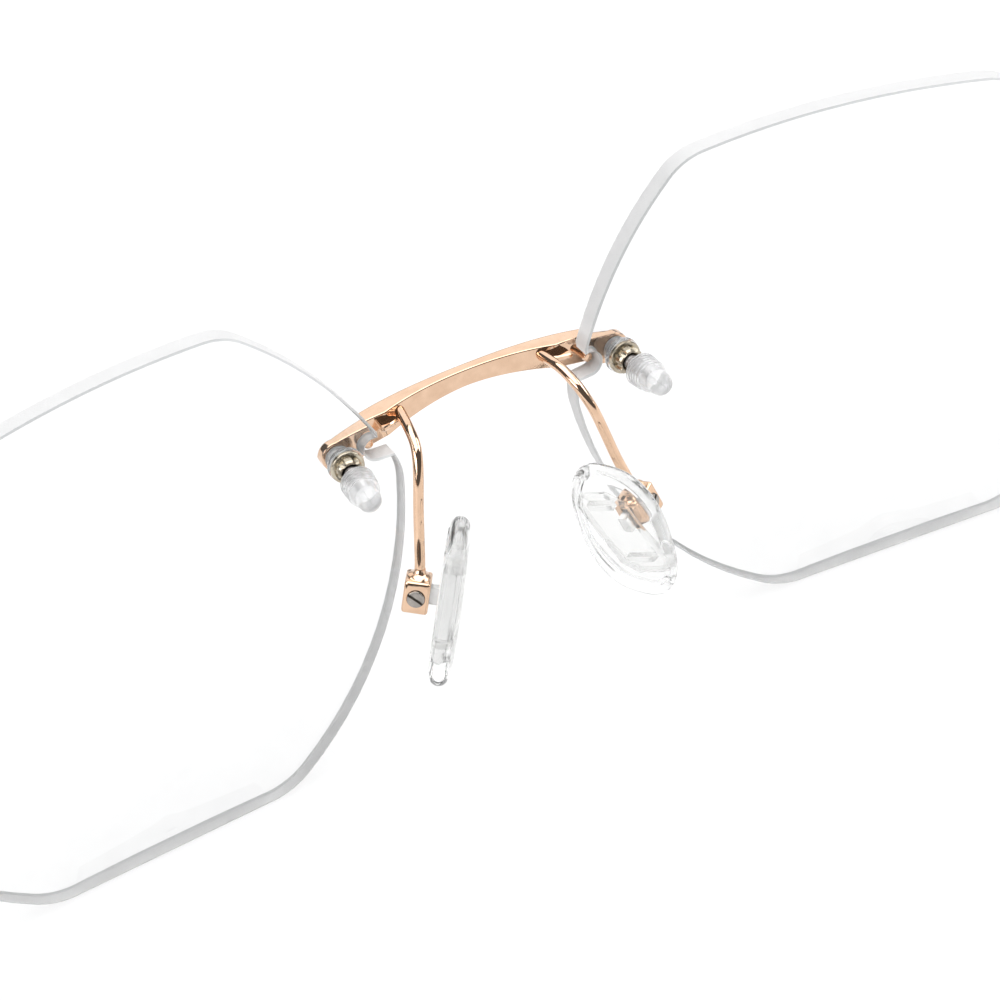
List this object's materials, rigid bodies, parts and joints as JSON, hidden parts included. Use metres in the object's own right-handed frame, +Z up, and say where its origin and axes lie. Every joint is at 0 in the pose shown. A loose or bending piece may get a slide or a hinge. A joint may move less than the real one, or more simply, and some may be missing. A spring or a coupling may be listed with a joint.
{
  "type": "rimless eyeglasses",
  "caption": "Rimless eyeglasses: drilled clear lenses joined by a slim metal bridge, with nose pads on wire arms and folding temples.",
  "frame": {"origin": "bottom centre of the standing glasses' box, on the table", "axes": "+X towards the wearer's left, +Y back along the open temples, +Z up; the lenses face -Y"},
  "size_m": [0.1336, 0.1546, 0.0421],
  "materials": {
    "rose_gold": "polished rose-gold plate",
    "lens": "clear, ground frosted edge",
    "steel": "dark machined",
    "nickel": "pale nickel, slightly worn",
    "clear_plastic": "translucent moulded plastic",
    "hard_clear": "clear moulded plastic",
    "silicone": "clear silicone, satin",
    "tip_acetate": "clear polished acetate"
  },
  "bodies": {
    "front": {"bridge": "rose_gold", "lens_left": "lens", "lens_right": "lens", "bridge_stud_left": "steel", "bridge_stud_right": "steel", "bridge_bush_left": "clear_plastic", "bridge_bush_right": "clear_plastic", "bridge_washer_left": "clear_plastic", "bridge_washer_right": "clear_plastic", "bridge_nut_left": "nickel", "bridge_nut_right": "nickel", "bridge_cap_left": "clear_plastic", "bridge_cap_right": "clear_plastic", "temple_stud_left": "steel", "temple_stud_right": "steel", "temple_bush_left": "clear_plastic", "temple_bush_right": "clear_plastic", "temple_washer_left": "clear_plastic", "temple_washer_right": "clear_plastic", "temple_nut_left": "nickel", "temple_nut_right": "nickel", "temple_cap_left": "clear_plastic", "temple_cap_right": "clear_plastic", "pad_arm_left": "rose_gold", "pad_arm_right": "rose_gold", "pad_box_left": "rose_gold", "pad_box_right": "rose_gold", "pad_screw_left": "steel", "pad_screw_right": "steel", "end_piece_left": "rose_gold", "end_piece_right": "rose_gold", "hinge_screw_left": "steel", "hinge_screw_right": "steel"},
    "pad_left": {"pad_core_left": "hard_clear", "nose_pad_left": "silicone"},
    "pad_right": {"pad_core_right": "hard_clear", "nose_pad_right": "silicone"},
    "temple_left": {"temple_left": "rose_gold", "temple_tip_left": "tip_acetate"},
    "temple_right": {"temple_right": "rose_gold", "temple_tip_right": "tip_acetate"}
  },
  "joints": [
    {"name": "temple_left_fold", "type": "hinge", "parent": "front", "child": "temple_left", "pos_m": [0.063, -0.0595, 0.02686], "axis": [0, 0, 1], "range_deg": [0, 92]},
    {"name": "temple_right_fold", "type": "hinge", "parent": "front", "child": "temple_right", "pos_m": [-0.063, -0.0595, 0.02686], "axis": [0, 0, -1], "range_deg": [0, 86]},
    {"name": "pad_left_rock", "type": "hinge", "parent": "front", "child": "pad_left", "pos_m": [0.01005, -0.06744, 0.01637], "axis": [0.4798, 0.8466, 0.2304], "range_deg": [-10, 10]},
    {"name": "pad_right_rock", "type": "hinge", "parent": "front", "child": "pad_right", "pos_m": [-0.01005, -0.06744, 0.01637], "axis": [-0.4798, 0.8466, 0.2304], "range_deg": [-10, 10]}
  ]
}
